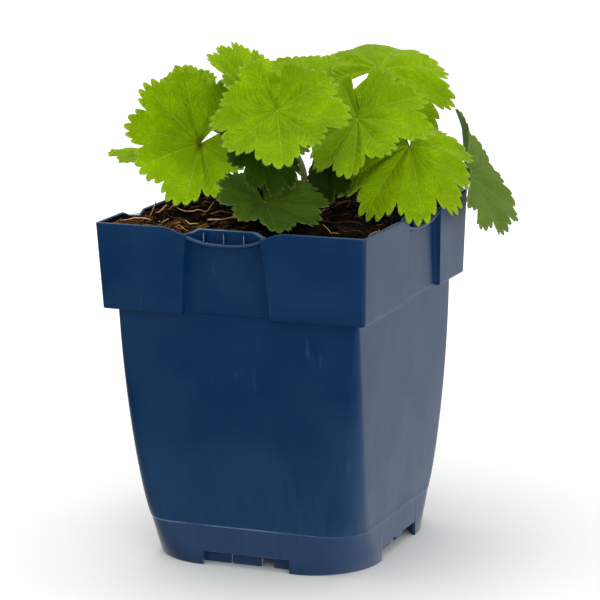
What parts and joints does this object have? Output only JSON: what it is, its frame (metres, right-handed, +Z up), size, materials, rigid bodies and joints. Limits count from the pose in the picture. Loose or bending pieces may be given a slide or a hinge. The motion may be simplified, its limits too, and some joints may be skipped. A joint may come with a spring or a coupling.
{
  "type": "potted plant",
  "caption": "Young lady's mantle with lobed, toothed leaves on slender stems, growing in compost in a tapered square plastic pot with a deep stepped collar.",
  "frame": {"origin": "centre of the pot's base, on the floor", "axes": "+Z up; -Y is the side of the pot that the picture shows almost square on, +X is to its right"},
  "size_m": [0.1485, 0.1519, 0.1945],
  "materials": {
    "pot_plastic": "smooth satin dark blue plastic, slightly scuffed",
    "compost": "rough dark peaty compost with straw-coloured fibres",
    "crown_wood": "dull fibrous brown-green rootstock",
    "leaf_green": "soft matt yellow-green leaf with pale veins and fine hairs"
  },
  "bodies": {
    "root": {"pot": "pot_plastic", "soil": "compost", "crown": "crown_wood", "leaf_left_big": "leaf_green", "leaf_centre_top": "leaf_green", "leaf_middle_right": "leaf_green", "leaf_right_big": "leaf_green", "leaf_centre_shaded": "leaf_green", "leaf_front_low": "leaf_green", "leaf_right_hanging": "leaf_green", "leaf_top_right": "leaf_green", "leaf_top_left": "leaf_green", "leaf_far_left": "leaf_green", "leaf_top_middle": "leaf_green", "leaf_left_tip": "leaf_green", "leaf_front_gap": "leaf_green", "leaf_back_left": "leaf_green", "leaf_back_middle": "leaf_green", "leaf_right_low": "leaf_green", "leaf_left_low": "leaf_green", "leaf_back_right": "leaf_green", "leaf_back_low": "leaf_green", "leaf_young_left": "leaf_green", "leaf_young_right": "leaf_green"}
  },
  "joints": []
}
